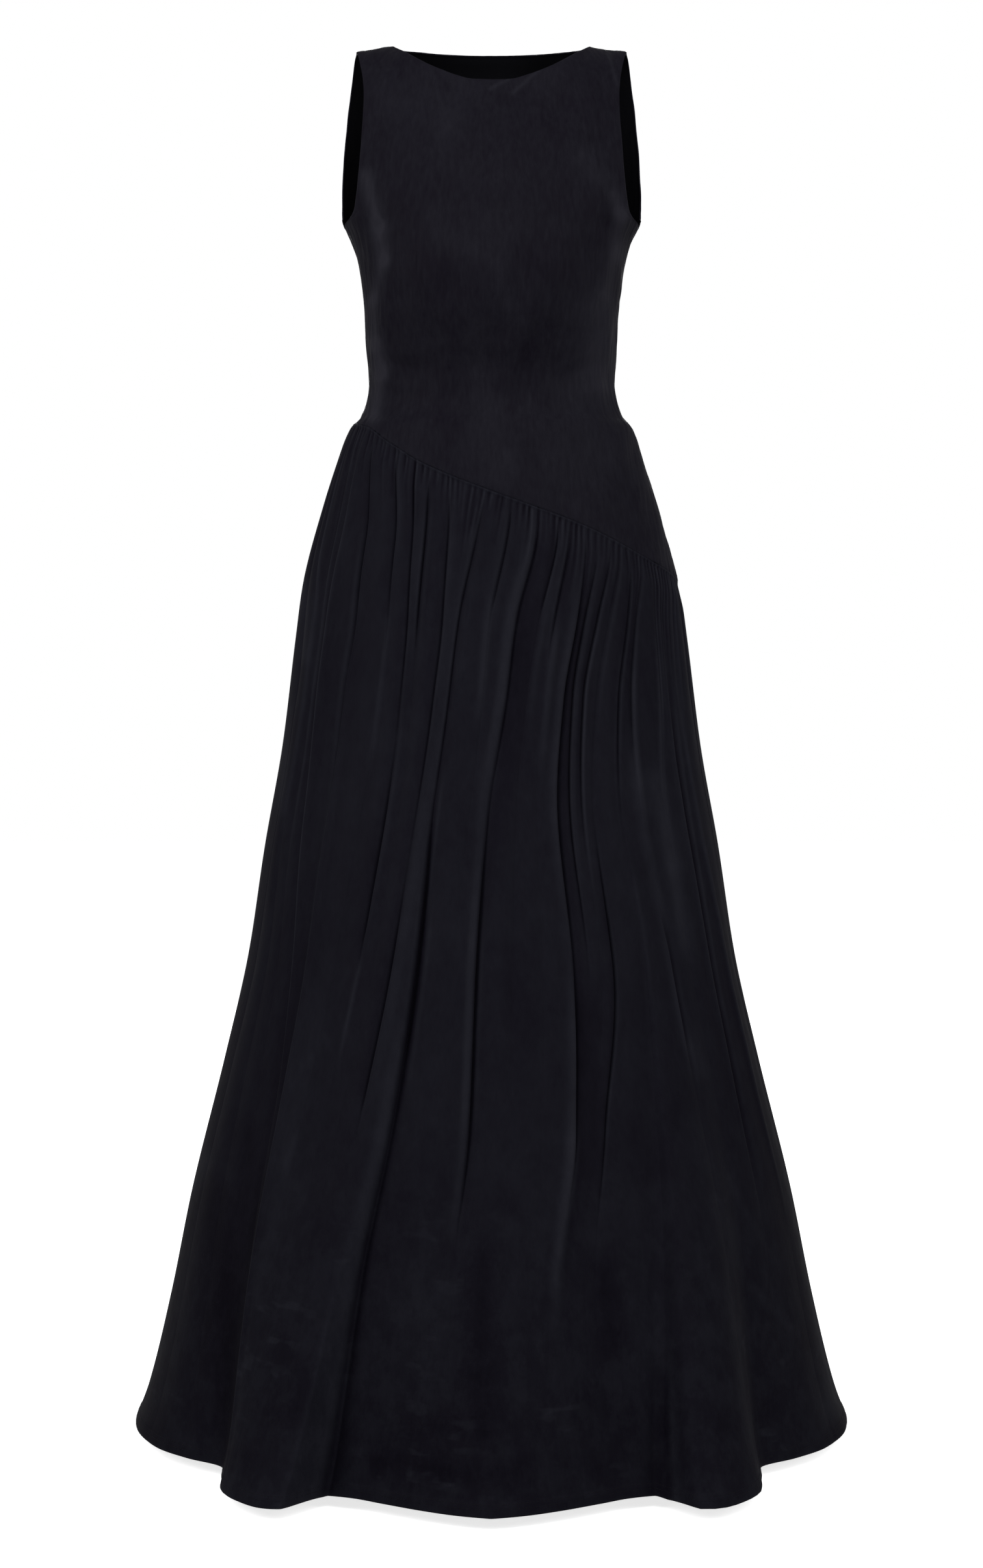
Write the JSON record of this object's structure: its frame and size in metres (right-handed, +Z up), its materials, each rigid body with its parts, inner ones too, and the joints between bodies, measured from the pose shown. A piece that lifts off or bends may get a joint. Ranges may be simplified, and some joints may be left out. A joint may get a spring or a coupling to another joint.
{
  "type": "maxi dress",
  "caption": "Sleeveless black jersey maxi dress with boat neck, dropped diagonal waist seam and long gathered skirt with fluted hem, filled out and hollow.",
  "frame": {"origin": "midway between the two shoulder seams, level with their inner ends, where a wearer's shoulders carry the dress", "axes": "+Z up along the dress from hem to shoulders, the front faces -Y, +X is the wearer's left"},
  "size_m": [0.76, 0.7425, 1.4567],
  "materials": {
    "bodice_jersey": "black slinky stretch jersey with a soft sheen, slightly violet",
    "skirt_jersey": "black slinky stretch jersey with a soft mottled nap, slightly blue"
  },
  "bodies": {
    "root": {"bodice_front": "bodice_jersey", "bodice_back": "bodice_jersey", "skirt_front": "skirt_jersey", "skirt_back": "skirt_jersey"}
  },
  "joints": []
}
